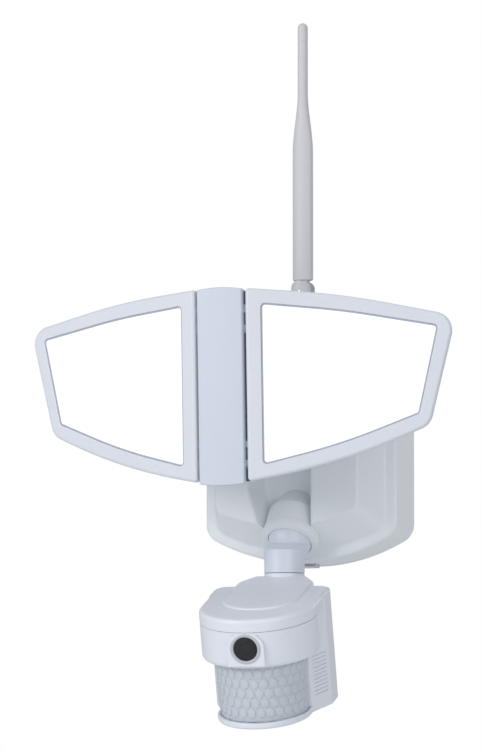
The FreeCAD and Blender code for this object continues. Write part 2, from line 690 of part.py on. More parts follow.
def make_top_cap():
    """Lid of the head with the raised tongue that carries the pan collar."""
    lid = plate_between(u_plan(barrel_r, barrel_r, body_back, cap_seam_z), V(0, 0, -cap_seam_z - 0.2))
    rim = [e for e in lid.Edges if all(v.Point.z > -0.5 for v in e.Vertexes)]
    lid = lid.makeFillet(2.4, rim)
    room = plate_between(u_plan(barrel_r - 2.5, barrel_r - 2.5, body_back - 2.5, cap_seam_z - 1),
                         V(0, 0, -cap_seam_z - 1.8))
    lid = lid.cut(room)
    tongue_r, tongue_y = 26.0, -66.0
    front = V(0, tongue_y - tongue_r, -6)
    tail = 17.0
    edges = [Part.Arc(V(-tongue_r, tongue_y, -6), front, V(tongue_r, tongue_y, -6)).toShape(),
             Part.LineSegment(V(tongue_r, tongue_y, -6), V(tongue_r, -24, -6)).toShape(),
             Part.LineSegment(V(tongue_r, -24, -6), V(tail, -4, -6)).toShape(),
             Part.LineSegment(V(tail, -4, -6), V(-tail, -4, -6)).toShape(),
             Part.LineSegment(V(-tail, -4, -6), V(-tongue_r, -24, -6)).toShape(),
             Part.LineSegment(V(-tongue_r, -24, -6), V(-tongue_r, tongue_y, -6)).toShape()]
    tongue = plate_between(Part.Wire(edges), V(0, 0, 8.4))
    top = [e for e in tongue.Edges if all(v.Point.z > 2.3 for v in e.Vertexes)]
    tongue = tongue.makeFillet(1.6, top)
    hollow = box((-20, -60, -7), (20, -36, 0))
    cap = in_sensor(fuse([lid, tongue]).cut(hollow))
    cap = cap.cut(half_space(V(0, 0, seam_z - seam_gap / 2), Z))
    collar = cyl(tube_r, V(0, pan_y, seam_z), -Z, 15)
    brace = box((-14, pan_y - 32, seam_z - 20), (14, pan_y, seam_z - 5.5))
    turned = FreeCAD.Rotation(Z, pan_rest)
    brace.Placement = FreeCAD.Placement(V(0, pan_y, 0) - turned.multVec(V(0, pan_y, 0)), turned)
    under = in_sensor(box((-60, -120, -40), (60, -27, cap_seam_z - 0.1)))
    above = in_sensor(half_space(V(0, 0, 1.0), Z))
    cap = fuse([cap, collar, brace.cut(under).cut(above)])
    cap = cap.cut(cyl(bush_r, V(0, pan_y, seam_z + 5), -Z, 8.2 + 5))
    return cap.cut(cyl(spigot_r + 2.6, V(0, pan_y, seam_z - 8.0), -Z, 6.4))


def make_pan_clip():
    """Spring ring in the spigot's end that holds the head on."""
    clip = ring(spigot_r + 2.2, spigot_r, V(0, pan_y, seam_z - 8.6), -Z, 1.2)
    return clip


def make_camera_band():
    plan = u_plan(barrel_r, barrel_r, body_back, cap_seam_z)
    outer = plate_between(plan, V(0, 0, band_bottom - cap_seam_z))
    low = [e for e in outer.Edges if all(v.Point.z < band_bottom + 0.1 for v in e.Vertexes)]
    outer = outer.makeFillet(3.0, low)
    inner = plate_between(u_plan(barrel_r - 2.5, barrel_r - 2.5, body_back, cap_seam_z + 1),
                          V(0, 0, band_bottom - cap_seam_z + 1.5))
    band = outer.cut(inner).common(box((-60, -130, -60), (60, -70.5, 10)))
    slot = plate_between(u_plan(lens_r + 0.1, lens_r + 0.1, body_back, band_bottom + 5), V(0, 0, -20))
    band = band.cut(slot)
    pad_r = 12.5
    face = barrel_y - barrel_r - 0.5
    pad = cyl(pad_r, V(0, face, lens_at_z), Y, 6)
    pad = pad.fuse(box((-pad_r, face, band_bottom + 2.5), (pad_r, face + 6, lens_at_z)))
    pad = pad.common(box((-60, -120, -60), (60, 0, cap_seam_z)))
    band = fuse([band, pad])
    return band.cut(cyl(10.2, V(0, barrel_y - barrel_r - 5, lens_at_z), Y, 20))


def make_rear_shell():
    outer = plate_between(rear_plan(cap_seam_z), V(0, 0, body_bottom - cap_seam_z))
    inner = plate_between(rear_plan(cap_seam_z + 1, 2.4), V(0, 0, body_bottom - cap_seam_z - 2))
    shell = outer.cut(inner)
    shell = shell.cut(box((-28, -80, -90), (28, -66, 10)))
    shell = shell.cut(box((-60, -80, band_bottom), (60, -70.6, 10)))
    for side in (-1, 1):
        for z in range(-66, -36, 5):
            vent = box((side * 35.5 - 3.2, -66, z), (side * 35.5 + 3.2, -55, z + 1.6))
            shell = shell.cut(vent)
    return shell


def make_bottom_lip():
    edge = u_plan(lens_r + 0.6, lip_front_r, body_back - 6, body_bottom - 0.8)
    lip = plate_between(edge, V(0, 0, 3.6))
    foot = plate_between(rear_plan(body_bottom - 0.8), V(0, 0, 0.8))
    tray = plate_between(rear_plan(body_bottom, 2.6), V(0, 0, 2.4))
    lip = fuse([lip.cut(box((-60, -72.2, body_bottom), (60, 0, 0))), foot, tray])
    button_hole = cyl(3.3, V(14, -50, body_bottom - 5), Z, 12)
    return lip.cut(button_hole).cut(cyl(1.5, V(-20, -44, -90), Z, 30)).cut(cyl(1.5, V(24, -40, -90), Z, 30))


def make_fresnel():
    """Domed segment lens of the motion sensor, a little narrower at its foot."""
    top_z, foot_z = band_bottom + 3.2, body_bottom + 2.8
    outer = loft([u_plan(lens_r, lens_r, -60, top_z), u_plan(lens_r - 1.4, lens_r - 1.4, -60, foot_z)])
    inner = loft([u_plan(lens_r - 1.6, lens_r - 1.6, -60, top_z + 0.1),
                  u_plan(lens_r - 3.0, lens_r - 3.0, -60, foot_z - 0.1)])
    return outer.cut(inner).common(box((-60, -130, -90), (60, -72.6, 10)))


def make_camera():
    face = barrel_y - barrel_r
    bezel = ring(10.1, lens_glass_r, V(0, face - 0.9, lens_at_z), Y, 5)
    glass = cyl(lens_glass_r, V(0, face + 0.2, lens_at_z), Y, 1.4)
    barrel = ring(6.6, 4.2, V(0, face + 2.0, lens_at_z), Y, 12)
    optic = cyl(4.2, V(0, face + 3.0, lens_at_z), Y, 9)
    board = box((-14, face + 14, -31), (14, face + 15.6, -9.5))
    return bezel, glass, Part.makeCompound([barrel.fuse(optic).removeSplitter()]), board


def make_sensor_boards():
    main = box((-26, -58.6, -68), (26, -57, -12))
    pir = fuse([cyl(4.6, V(0, -62.8, -52), Y, 4.2), cyl(5.2, V(0, -59.4, -52), Y, 0.8)])
    speaker = ring(9.5, 7.0, V(34.4, -43, -50), -X, 4.5).fuse(cyl(7.0, V(33.4, -43, -50), -X, 2.0))
    return main, pir, speaker.removeSplitter()


def make_reset_button():
    stem = cyl(3.2, V(14, -50, body_bottom - 0.6), Z, 5.6)
    flange = cyl(4.4, V(14, -50, body_bottom + 2.8), Z, 1.0)
    return fuse([stem, flange])


# ======================================================================= writing the pieces
def save_housing():
    save("back_plate", make_back_plate())
    save("wall_gasket", make_gasket())
    save("housing_seal", make_housing_seal())
    save("housing_shell", make_housing_shell())
    save("case_screws", make_case_screws())
    board, parts = make_driver()
    save("driver_board", board)
    save("driver_parts", parts)
    board, chips = make_control_board()
    save("control_board", board)
    save("control_chips", chips)
    save("terminal_block", make_terminal_block())
    save("card_slot", make_service_sleeve())
    save("service_door", make_service_door())
    save("lamp_clamp", make_clamp(lamp_ball, lamp_out, 8.0, 9.6))
    save("sensor_clamp", make_clamp(sensor_ball, sensor_out, 8.0, 8.8))
    save("lamp_seat", fuse([make_seat(lamp_ball, lamp_out, 2.8)] + seat_pegs(peg_r, 16.2, 18.4)))
    save("sensor_seat", make_seat(sensor_ball, sensor_out, 1.2))


def save_aerial():
    save("aerial_connector", make_connector())
    save("aerial_knuckle", make_knuckle())
    save("aerial_pin", make_aerial_pin())
    save("aerial_blade", make_blade())


def save_lamp():
    save("lamp_arm", make_lamp_arm())
    frame, cap, screws, pins = make_spine()
    save("spine_frame", in_head(frame))
    save("spine_cover", in_head(cap))
    save("spine_screws", in_head(screws))
    save("panel_pins", in_head(pins))
    frame = make_panel_frame()
    pieces = make_panel_pieces()
    for side, word in ((-1, "left"), (1, "right")):
        save(word + "_panel_frame", on_panel(frame, side))
        for name, shape in pieces.items():
            save(word + "_panel_" + name, on_panel(shape, side))


def save_sensor():
    save("sensor_elbow", make_elbow())
    save("pan_bush", make_pan_bush())
    save("sensor_top_cap", make_top_cap())
    save("pan_clip", make_pan_clip())
    save("camera_band", in_sensor(make_camera_band()))
    save("sensor_rear_shell", in_sensor(make_rear_shell()))
    save("sensor_base", in_sensor(make_bottom_lip()))
    save("fresnel_lens", in_sensor(make_fresnel()))
    bezel, glass, optic, board = make_camera()
    save("camera_ring", in_sensor(bezel))
    save("camera_glass", in_sensor(glass))
    save("camera_optic", in_sensor(optic))
    save("camera_board", in_sensor(board))
    main, pir, speaker = make_sensor_boards()
    save("sensor_board", in_sensor(main))
    save("motion_detector", in_sensor(pir))
    save("speaker", in_sensor(speaker))
    save("reset_button", in_sensor(make_reset_button()))


save_housing()
save_aerial()
save_lamp()
save_sensor()
print("nodes", len(written))
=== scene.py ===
from math import atan2, cos, pi, radians, sin, sqrt, tan

import bmesh
import bpy
from mathutils import Matrix, Vector


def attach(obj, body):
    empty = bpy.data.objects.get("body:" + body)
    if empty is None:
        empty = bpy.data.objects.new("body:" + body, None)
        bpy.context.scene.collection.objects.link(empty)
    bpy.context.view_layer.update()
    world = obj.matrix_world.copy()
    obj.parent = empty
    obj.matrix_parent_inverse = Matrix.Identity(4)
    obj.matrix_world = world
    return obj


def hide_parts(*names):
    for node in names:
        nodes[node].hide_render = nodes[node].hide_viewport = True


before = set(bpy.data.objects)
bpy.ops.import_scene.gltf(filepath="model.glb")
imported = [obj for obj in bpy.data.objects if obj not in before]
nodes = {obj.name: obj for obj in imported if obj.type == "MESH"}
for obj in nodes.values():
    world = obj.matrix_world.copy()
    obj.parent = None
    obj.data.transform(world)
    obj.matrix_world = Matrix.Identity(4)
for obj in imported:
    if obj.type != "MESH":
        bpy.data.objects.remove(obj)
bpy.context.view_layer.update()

metres = Matrix.Scale(0.001, 4)                     # pieces are drawn in millimetres
upright = Matrix.Rotation(radians(90), 4, "X")      # x across, y up, z towards the front
up = Vector((0, 0, 1))

# where the lamp head and the sensor head stand, in millimetres and degrees
head = {"at": (0, -167, 30), "lean": 2.2, "foldLine": 16.9, "sweep": 14.0}
sensor = {"at": (0, -58, -87), "pan": 8.6, "lean": 17.8, "barrelY": -78.0, "barrelR": 38.4, "backY": -30.0}

headPlace = Matrix.Translation(head["at"]) @ Matrix.Rotation(radians(head["lean"]), 4, "X")
sensorPlace = (Matrix.Translation(sensor["at"]) @ Matrix.Rotation(radians(sensor["pan"]), 4, "Z")
               @ Matrix.Rotation(radians(sensor["lean"]), 4, "X"))


def newGroup(name, inputs, outputs):
    group = bpy.data.node_groups.new(name, "ShaderNodeTree")
    for label, kind, value in inputs:
        socket = group.interface.new_socket(label, in_out="INPUT", socket_type=kind)
        socket.default_value = value
    for label, kind in outputs:
        group.interface.new_socket(label, in_out="OUTPUT", socket_type=kind)
    return group, group.nodes.new("NodeGroupInput"), group.nodes.new("NodeGroupOutput")


def addNode(tree, kind, **values):
    node = tree.nodes.new(kind)
    for key, value in values.items():
        setattr(node, key, value)
    return node


def noiseAt(tree, coordinates, scale, detail):
    noise = addNode(tree, "ShaderNodeTexNoise")
    noise.inputs["Detail"].default_value = detail
    tree.links.new(coordinates, noise.inputs["Vector"])
    if isinstance(scale, (int, float)):
        noise.inputs["Scale"].default_value = scale
    else:
        tree.links.new(scale, noise.inputs["Scale"])
    return noise.outputs["Fac"]


def spread(tree, value, low, high):
    mapRange = addNode(tree, "ShaderNodeMapRange")
    tree.links.new(value, mapRange.inputs["Value"])
    for label, limit in (("To Min", low), ("To Max", high)):
        if isinstance(limit, (int, float)):
            mapRange.inputs[label].default_value = limit
        else:
            tree.links.new(limit, mapRange.inputs[label])
    return mapRange.outputs["Result"]


def calc(tree, operation, a, b):
    node = addNode(tree, "ShaderNodeMath", operation=operation)
    for index, value in enumerate((a, b)):
        if isinstance(value, (int, float)):
            node.inputs[index].default_value = value
        else:
            tree.links.new(value, node.inputs[index])
    return node.outputs[0]


def mixColours(tree, factor, a, b, mode="MIX"):
    mix = addNode(tree, "ShaderNodeMix", data_type="RGBA", blend_type=mode)
    for socket, value in ((mix.inputs[0], factor), (mix.inputs[6], a), (mix.inputs[7], b)):
        if isinstance(value, (int, float, tuple)):
            socket.default_value = value
        else:
            tree.links.new(value, socket)
    return mix.outputs[2]


def makeSkinGroup():
    # the fine spark texture of a moulded surface, with slow drifts of tone and gloss
    group, given, result = newGroup("mouldedSkin", [
        ("Color", "NodeSocketColor", (0.8, 0.8, 0.8, 1)), ("Tone Drift", "NodeSocketFloat", 0.04),
        ("Gloss", "NodeSocketFloat", 0.4), ("Gloss Drift", "NodeSocketFloat", 0.08),
        ("Grain Scale", "NodeSocketFloat", 1800.0), ("Grain Depth", "NodeSocketFloat", 0.00002)],
        [("Color", "NodeSocketColor"), ("Roughness", "NodeSocketFloat"), ("Height", "NodeSocketFloat")])
    place = addNode(group, "ShaderNodeTexCoord").outputs["Object"]
    drift = noiseAt(group, place, 22.0, 3.0)
    low = calc(group, "SUBTRACT", 1.0, given.outputs["Tone Drift"])
    high = calc(group, "ADD", 1.0, given.outputs["Tone Drift"])
    tone = spread(group, drift, low, high)
    grey = addNode(group, "ShaderNodeCombineColor")
    for channel in grey.inputs:
        group.links.new(tone, channel)
    tinted = mixColours(group, 1.0, given.outputs["Color"], grey.outputs[0], "MULTIPLY")
    group.links.new(tinted, result.inputs["Color"])
    smudge = noiseAt(group, place, 60.0, 4.0)
    dull = calc(group, "MULTIPLY", calc(group, "SUBTRACT", smudge, 0.5), given.outputs["Gloss Drift"])
    group.links.new(calc(group, "ADD", given.outputs["Gloss"], dull), result.inputs["Roughness"])
    grain = noiseAt(group, place, given.outputs["Grain Scale"], 2.0)
    group.links.new(calc(group, "MULTIPLY", grain, given.outputs["Grain Depth"]), result.inputs["Height"])
    return group


def makeDustGroup():
    # a thin film that settles on faces that look up
    group, given, result = newGroup("settledDust", [
        ("Color", "NodeSocketColor", (0.8, 0.8, 0.8, 1)), ("Amount", "NodeSocketFloat", 0.1)],
        [("Color", "NodeSocketColor"), ("Mask", "NodeSocketFloat")])
    geometry = addNode(group, "ShaderNodeNewGeometry")
    split = addNode(group, "ShaderNodeSeparateXYZ")
    group.links.new(geometry.outputs["Normal"], split.inputs[0])
    facing = spread(group, split.outputs["Z"], 0.0, 1.0)
    group.nodes[-1].inputs["From Min"].default_value = 0.2
    patches = noiseAt(group, addNode(group, "ShaderNodeTexCoord").outputs["Object"], 140.0, 6.0)
    mask = calc(group, "MULTIPLY", calc(group, "MULTIPLY", facing, patches), given.outputs["Amount"])
    dusty = mixColours(group, mask, given.outputs["Color"], (0.42, 0.40, 0.37, 1))
    group.links.new(dusty, result.inputs["Color"])
    group.links.new(mask, result.inputs["Mask"])
    return group


skinGroup = makeSkinGroup()
dustGroup = makeDustGroup()


def newMaterial(name):
    material = bpy.data.materials.new(name)
    material.use_nodes = True
    return material, material.node_tree, material.node_tree.nodes["Principled BSDF"]


def skinned(name, colour, gloss=0.38, toneDrift=0.02, glossDrift=0.1, grainScale=1500.0, grainDepth=0.00003,
            dust=0.0, coat=0.0, specular=0.5):
    material, tree, shader = newMaterial(name)
    skin = addNode(tree, "ShaderNodeGroup", node_tree=skinGroup)
    values = {"Color": (*colour, 1), "Tone Drift": toneDrift, "Gloss": gloss, "Gloss Drift": glossDrift,
              "Grain Scale": grainScale, "Grain Depth": grainDepth}
    for label, value in values.items():
        skin.inputs[label].default_value = value
    colourOut = skin.outputs["Color"]
    if dust:
        film = addNode(tree, "ShaderNodeGroup", node_tree=dustGroup)
        film.inputs["Amount"].default_value = dust
        tree.links.new(colourOut, film.inputs["Color"])
        colourOut = film.outputs["Color"]
    tree.links.new(colourOut, shader.inputs["Base Color"])
    tree.links.new(skin.outputs["Roughness"], shader.inputs["Roughness"])
    bump = addNode(tree, "ShaderNodeBump")
    bump.inputs["Strength"].default_value = 0.35
    bump.inputs["Distance"].default_value = 1.0
    tree.links.new(skin.outputs["Height"], bump.inputs["Height"])
    tree.links.new(bump.outputs["Normal"], shader.inputs["Normal"])
    shader.inputs["Coat Weight"].default_value = coat
    shader.inputs["Coat Roughness"].default_value = 0.15
    shader.inputs["Specular IOR Level"].default_value = specular
    return material


def glowing(name, centre, reach, strength):
    # white diffuser, a little dimmer towards its corners
    material, tree, shader = newMaterial(name)
    place = addNode(tree, "ShaderNodeTexCoord")
    mapping = addNode(tree, "ShaderNodeMapping")
    mapping.inputs["Location"].default_value = [-value / size for value, size in zip(centre, reach)]
    mapping.inputs["Scale"].default_value = [1 / size for size in reach]
    tree.links.new(place.outputs["Object"], mapping.inputs["Vector"])
    far = addNode(tree, "ShaderNodeVectorMath", operation="LENGTH")
    tree.links.new(mapping.outputs["Vector"], far.inputs[0])
    fade = addNode(tree, "ShaderNodeMapRange", interpolation_type="SMOOTHSTEP")
    fade.inputs["From Min"].default_value = 0.35
    fade.inputs["From Max"].default_value = 1.25
    tree.links.new(far.outputs["Value"], fade.inputs["Value"])
    glow = mixColours(tree, fade.outputs["Result"], (1.0, 1.0, 1.0, 1), (0.93, 0.945, 0.95, 1))
    tree.links.new(glow, shader.inputs["Emission Color"])
    shader.inputs["Emission Strength"].default_value = strength
    shader.inputs["Base Color"].default_value = (0.06, 0.06, 0.06, 1)
    shader.inputs["Roughness"].default_value = 0.5
    return material


def clear(name, tint, roughness, transmission, specular=0.5):
    material, tree, shader = newMaterial(name)
    place = addNode(tree, "ShaderNodeTexCoord").outputs["Object"]
    cloud = mixColours(tree, noiseAt(tree, place, 90.0, 3.0), (*tint, 1), (*[c * 0.94 for c in tint], 1))
    tree.links.new(cloud, shader.inputs["Base Color"])
    haze = spread(tree, noiseAt(tree, place, 240.0, 4.0), roughness * 0.85, roughness * 1.15)
    tree.links.new(haze, shader.inputs["Roughness"])
    shader.inputs["Transmission Weight"].default_value = transmission
    shader.inputs["Specular IOR Level"].default_value = specular
    return material


def brushed(name, colour, gloss, stretch):
    # drawn or turned metal: noise pulled out along one axis
    material, tree, shader = newMaterial(name)
    place = addNode(tree, "ShaderNodeTexCoord")
    mapping = addNode(tree, "ShaderNodeMapping")
    mapping.inputs["Scale"].default_value = stretch
    tree.links.new(place.outputs["Object"], mapping.inputs["Vector"])
    lines = noiseAt(tree, mapping.outputs["Vector"], 900.0, 4.0)
    tree.links.new(mixColours(tree, lines, (*[c * 0.8 for c in colour], 1), (*colour, 1)),
                   shader.inputs["Base Color"])
    tree.links.new(spread(tree, lines, gloss * 0.7, gloss * 1.3), shader.inputs["Roughness"])
    bump = addNode(tree, "ShaderNodeBump")
    bump.inputs["Strength"].default_value = 0.15
    bump.inputs["Distance"].default_value = 0.0001
    tree.links.new(lines, bump.inputs["Height"])
    tree.links.new(bump.outputs["Normal"], shader.inputs["Normal"])
    shader.inputs["Metallic"].default_value = 1.0
    return material


paint = {
    "housing": skinned("housingPlastic", (0.76, 0.80, 0.83), gloss=0.42, dust=0.10),
    "head": skinned("headPlastic", (0.66, 0.69, 0.75), gloss=0.36),
    "spine": skinned("spinePlastic", (0.55, 0.60, 0.68), gloss=0.38),
    "sensorShell": skinned("sensorPlastic", (0.74, 0.77, 0.84), gloss=0.34, dust=0.08),
    "arm": skinned("armPlastic", (0.66, 0.70, 0.78), gloss=0.36),
    "aerial": skinned("aerialRubber", (0.57, 0.57, 0.60), gloss=0.5, grainScale=900.0, grainDepth=0.00005),
    # a real rubber seal whose grey-lilac tone is darkened to paint the shade on the ledge inside the frame
    # lip
    "sealGreyPaintedShade": skinned("panelSealRubberPaintedShade", (0.40, 0.41, 0.50), gloss=0.6, grainDepth=0.00002),
    # painted shade: near-black colour for the strips that fill the gaps beside the spine
    "paintedGapShade": skinned("paintedGapShadeDark", (0.13, 0.13, 0.16), gloss=0.65, grainDepth=0.00002),
    "sealBlack": skinned("gasketRubber", (0.035, 0.035, 0.037), gloss=0.7, grainDepth=0.00006),
    "board": skinned("boardLacquer", (0.02, 0.16, 0.06), gloss=0.3, toneDrift=0.12, coat=0.4),
    "blackParts": skinned("blackMoulding", (0.03, 0.03, 0.032), gloss=0.45, grainDepth=0.00006),
    "seat": skinned("nylonSeat", (0.30, 0.31, 0.32), gloss=0.5, grainDepth=0.00004),
    "heatSink": skinned("castAluminiumPaint", (0.60, 0.62, 0.67), gloss=0.5, grainScale=700.0,
                        grainDepth=0.00012),
    "reflector": skinned("reflectorGloss", (0.86, 0.87, 0.88), gloss=0.12, coat=0.5),
    "ledYellow": skinned("ledPhosphor", (0.85, 0.62, 0.10), gloss=0.35, toneDrift=0.06),
    "doorGrey": skinned("doorPlastic", (0.60, 0.60, 0.63), gloss=0.42),
    "lensBlack": skinned("cameraBlack", (0.022, 0.023, 0.030), gloss=0.16, glossDrift=0.05, grainDepth=0.0,
                         coat=0.1, specular=0.2),
    "lensPupil": skinned("cameraPupil", (0.010, 0.010, 0.022), gloss=0.05, glossDrift=0.02, grainDepth=0.0,
                         coat=0.6),
    "ringGrey": skinned("cameraRingPlastic", (0.50, 0.51, 0.56), gloss=0.3),
    "film": clear("segmentLensFilm", (0.66, 0.71, 0.77), 0.32, 0.15),
    "glass": clear("cameraGlass", (0.22, 0.23, 0.27), 0.02, 0.99, 0.1),
    "steel": brushed("zincSteel", (0.62, 0.63, 0.65), 0.28, (1, 1, 6)),
    "brass": brushed("turnedBrass", (0.78, 0.56, 0.24), 0.25, (1, 1, 8)),
}
print("materials made", len(paint))


def outline(bm, corners, z, steps=16):
    # a closed loop through corner points (x, y, radius), anticlockwise, each corner swept as an arc
    edges, arcs = [], []
    for index, (x, y, radius) in enumerate(corners):
        here = Vector((x, y, z))
        before = Vector((*corners[index - 1][:2], z))
        after = Vector((*corners[(index + 1) % len(corners)][:2], z))
        into, out = (here - before).normalized(), (after - here).normalized()
        turn = atan2(into.cross(out).z, into.dot(out))
        start = here - into * radius * tan(turn / 2)
        first = bm.verts.new(start)
        swept = bmesh.ops.spin(bm, geom=[first], cent=start + up.cross(into) * radius, axis=up,
                               angle=turn, steps=steps, use_duplicate=False)
        last = next(item for item in swept["geom_last"] if isinstance(item, bmesh.types.BMVert))
        arcs.append((first, last))
    for index, (first, last) in enumerate(arcs):
        bm.edges.new((last, arcs[(index + 1) % len(arcs)][0]))
    loop, seen = [], set()
    stack = [arcs[0][0]]
    while stack:
        vert = stack.pop()
        for edge in vert.link_edges:
            if edge not in seen:
                seen.add(edge)
                loop.append(edge)
                stack.append(edge.other_vert(vert))
    return loop


def shifted(corners, amount):
    # the same corners moved inwards by amount
    moved = []
    for index, (x, y, radius) in enumerate(corners):
        here = Vector((x, y, 0))
        into = (here - Vector((*corners[index - 1][:2], 0))).normalized()
        out = (Vector((*corners[(index + 1) % len(corners)][:2], 0)) - here).normalized()
        leftIn, leftOut = up.cross(into), up.cross(out)
        spot = here + (leftIn + leftOut) * (amount / (1 + leftIn.dot(leftOut)))
        moved.append((spot.x, spot.y, max(radius - amount, 0.5)))
    return moved


def bridge(bm, loops, closed=False):
    pairs = list(zip(loops, loops[1:]))
    if closed:
        pairs.append((loops[-1], loops[0]))
    for one, other in pairs:
        bmesh.ops.bridge_loops(bm, edges=one + other)


def cap(bm, loop):
    return bmesh.ops.contextual_create(bm, geom=loop)["faces"]


def roundOff(bm, edges, offset, segments=4):
    return bmesh.ops.bevel(bm, geom=list(edges), offset=offset, offset_type="OFFSET", segments=segments,
                           profile=0.5, affect="EDGES", clamp_overlap=False, material=-1)


def solidOf(bm, rings, rounds=()):
    # stacks outlines (corners, z) into a closed solid; rounds are (ring index, radius)
    loops = [outline(bm, corners, z) for corners, z in rings]
    bridge(bm, loops)
    cap(bm, loops[0])
    cap(bm, loops[-1])
    for index, radius in rounds:
        roundOff(bm, loops[index], radius)
    return loops


def lathe(bm, profile, steps=64):
    # spins (radius, z) points about z
    points = [bm.verts.new((radius, 0, z)) for radius, z in profile]
    edges = [bm.edges.new(pair) for pair in zip(points, points[1:])]
    bmesh.ops.spin(bm, geom=points + edges, cent=(0, 0, 0), axis=up, angle=2 * pi, steps=steps,
                   use_merge=True)
    bmesh.ops.remove_doubles(bm, verts=bm.verts, dist=0.0005)


def moved(bm, matrix, geometry=None):
    verts = [v for v in (geometry or bm.verts) if isinstance(v, bmesh.types.BMVert)]
    bmesh.ops.transform(bm, matrix=matrix, verts=verts)


def finishPiece(name, bm, place, material, body, stands=(), sharp=38, even=True):
    bmesh.ops.remove_doubles(bm, verts=bm.verts, dist=0.0005)
    bmesh.ops.transform(bm, matrix=metres @ place, verts=bm.verts)
    bmesh.ops.recalc_face_normals(bm, faces=bm.faces)
    mesh = bpy.data.meshes.new(name)
    bm.to_mesh(mesh)
    bm.free()
    mesh.materials.append(material)
    mesh.shade_smooth()
    mesh.set_sharp_from_angle(angle=radians(sharp))
    piece = bpy.data.objects.new(name, mesh)
    bpy.context.scene.collection.objects.link(piece)
    if even:
        weighted = piece.modifiers.new("evenShading", "WEIGHTED_NORMAL")
        weighted.keep_sharp = True
    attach(piece, body)
    if stands:
        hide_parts(*stands)
    return piece


panel = {
    "outline": [(1.4, -62.4, 2.5), (63.5, -51.6, 420.0), (121.2, -27.8, 12.0),
                (139.0, 42.6, 12.0), (64.0, 58.4, 500.0), (1.4, 63.8, 2.5)],
    "window": [(11.5, -51.9, 3.0), (63.0, -39.8, 420.0), (114.6, -20.5, 3.0),
               (127.8, 36.8, 3.0), (65.0, 48.2, 500.0), (11.5, 53.9, 3.0)],
    "straight": 6.0, "depth": 16.0, "draft": 6.0, "edgeRound": 2.3, "lipRound": 0.6,
    "lipDepth": 2.2, "cavity": -3.6, "sealWidth": 1.1, "sealTop": 0.9, "paneTop": 0.7,
    "dome": [(2.0, 0.16), (7.0, 0.4), (16.0, 0.6)], "backRound": 1.5, "sealFoot": 0.7, "paneFoot": 2.4,
    "glow": 1.0, "glowCentre": (66, 3, 0), "glowReach": (0.075, 0.075, 0.062),
}


def panelPlace(side):
    flat = (Matrix.Translation((head["foldLine"], 0, 0)) @ Matrix.Rotation(radians(head["sweep"]), 4, "Z")
            @ upright)
    return headPlace @ Matrix.Diagonal((side, 1, 1, 1)) @ flat


def makePanelFrame(side, word):
    bm = bmesh.new()
    outer, window = panel["outline"], panel["window"]
    back = shifted(outer, panel["draft"])
    cavity = shifted(window, panel["cavity"])
    rings = [(window, -panel["lipDepth"]), (window, 0), (outer, 0), (outer, -panel["straight"]),
             (back, -panel["depth"]), (cavity, -panel["depth"]), (cavity, -panel["lipDepth"])]
    loops = [outline(bm, corners, z) for corners, z in rings]
    bridge(bm, loops, closed=True)
    roundOff(bm, loops[2], panel["edgeRound"], 6)
    roundOff(bm, loops[1], panel["lipRound"], 3)
    roundOff(bm, loops[3], panel["backRound"], 3)
    finishPiece(word + "PanelFrame", bm, panelPlace(side), paint["head"], word + "_panel",
                [word + "_panel_frame"])


def makePanelSeal(side, word):
    bm = bmesh.new()
    outer, inner = shifted(panel["window"], 0.03), shifted(panel["window"], panel["sealWidth"])
    foot = -panel["lipDepth"] - panel["sealFoot"]
    rings = [(outer, foot), (outer, -panel["sealTop"]), (inner, -panel["sealTop"]), (inner, foot)]
    loops = [outline(bm, corners, z) for corners, z in rings]
    bridge(bm, loops, closed=True)
    roundOff(bm, loops[1] + loops[2], 0.25, 2)
    # the seal's colour is partly painted shade: its dark line round the window stands in for the shaded ledge
    finishPiece(word + "PanelSeal", bm, panelPlace(side), paint["sealGreyPaintedShade"], word + "_panel",
                [word + "_panel_seal"])


def makePanelWindow(side, word):
    bm = bmesh.new()
    pane = shifted(panel["window"], panel["sealWidth"] + 0.05)
    rings = [(pane, -panel["lipDepth"] - panel["paneFoot"]), (pane, -panel["paneTop"])]
    rings += [(shifted(pane, inwards), rise - panel["paneTop"]) for inwards, rise in panel["dome"]]
    solidOf(bm, rings, [(1, 0.3)])
    centre = panelPlace(side) @ Vector(panel["glowCentre"]) * 0.001
    glow = glowing(word + "WindowGlow", centre, panel["glowReach"], panel["glow"])
    finishPiece(word + "PanelWindow", bm, panelPlace(side), glow, word + "_panel",
                [word + "_panel_window"])


spine = {"halfWidth": 15.9, "halfHeight": 63.5, "bulge": 1.0, "depth": 3.6, "edgeRound": 0.9, "crown": 0.7}


def makeSpineCover():
    bm = bmesh.new()
    half, high, rise = spine["halfWidth"], spine["halfHeight"], 2 * spine["bulge"]
    arch = 0.75 * half ** 2 / rise                      # radius of the bowed top and bottom edges
    corners = [(-half, -high, 1.2), (0, -high - rise, arch), (half, -high, 1.2),
               (half, high, 1.2), (0, high + rise, arch), (-half, high, 1.2)]
    solidOf(bm, [(corners, -spine["depth"]), (corners, 0)], [(1, spine["edgeRound"])])
    for cut in range(-12, 13, 3):                       # the cuts let the front swell to its crown
        geometry = bm.verts[:] + bm.edges[:] + bm.faces[:]
        bmesh.ops.bisect_plane(bm, geom=geometry, plane_co=(cut, 0, 0), plane_no=(1, 0, 0))
    for vert in bm.verts:
        if vert.co.z > -spine["depth"] / 2:
            vert.co.z += spine["crown"] * (1 - (vert.co.x / half) ** 2)
    finishPiece("spineCover", bm, headPlace @ upright, paint["spine"], "lamp_head",
                ["spine_cover"])


# where the strips of painted shade stand in the gaps beside the spine
shadeStrip = {"inner": 15.0, "outer": 16.6, "front": 3.8, "deep": 8.5,
         "stretches": [(-62, -53.5), (-34.5, 34.5), (53.5, 62)]}


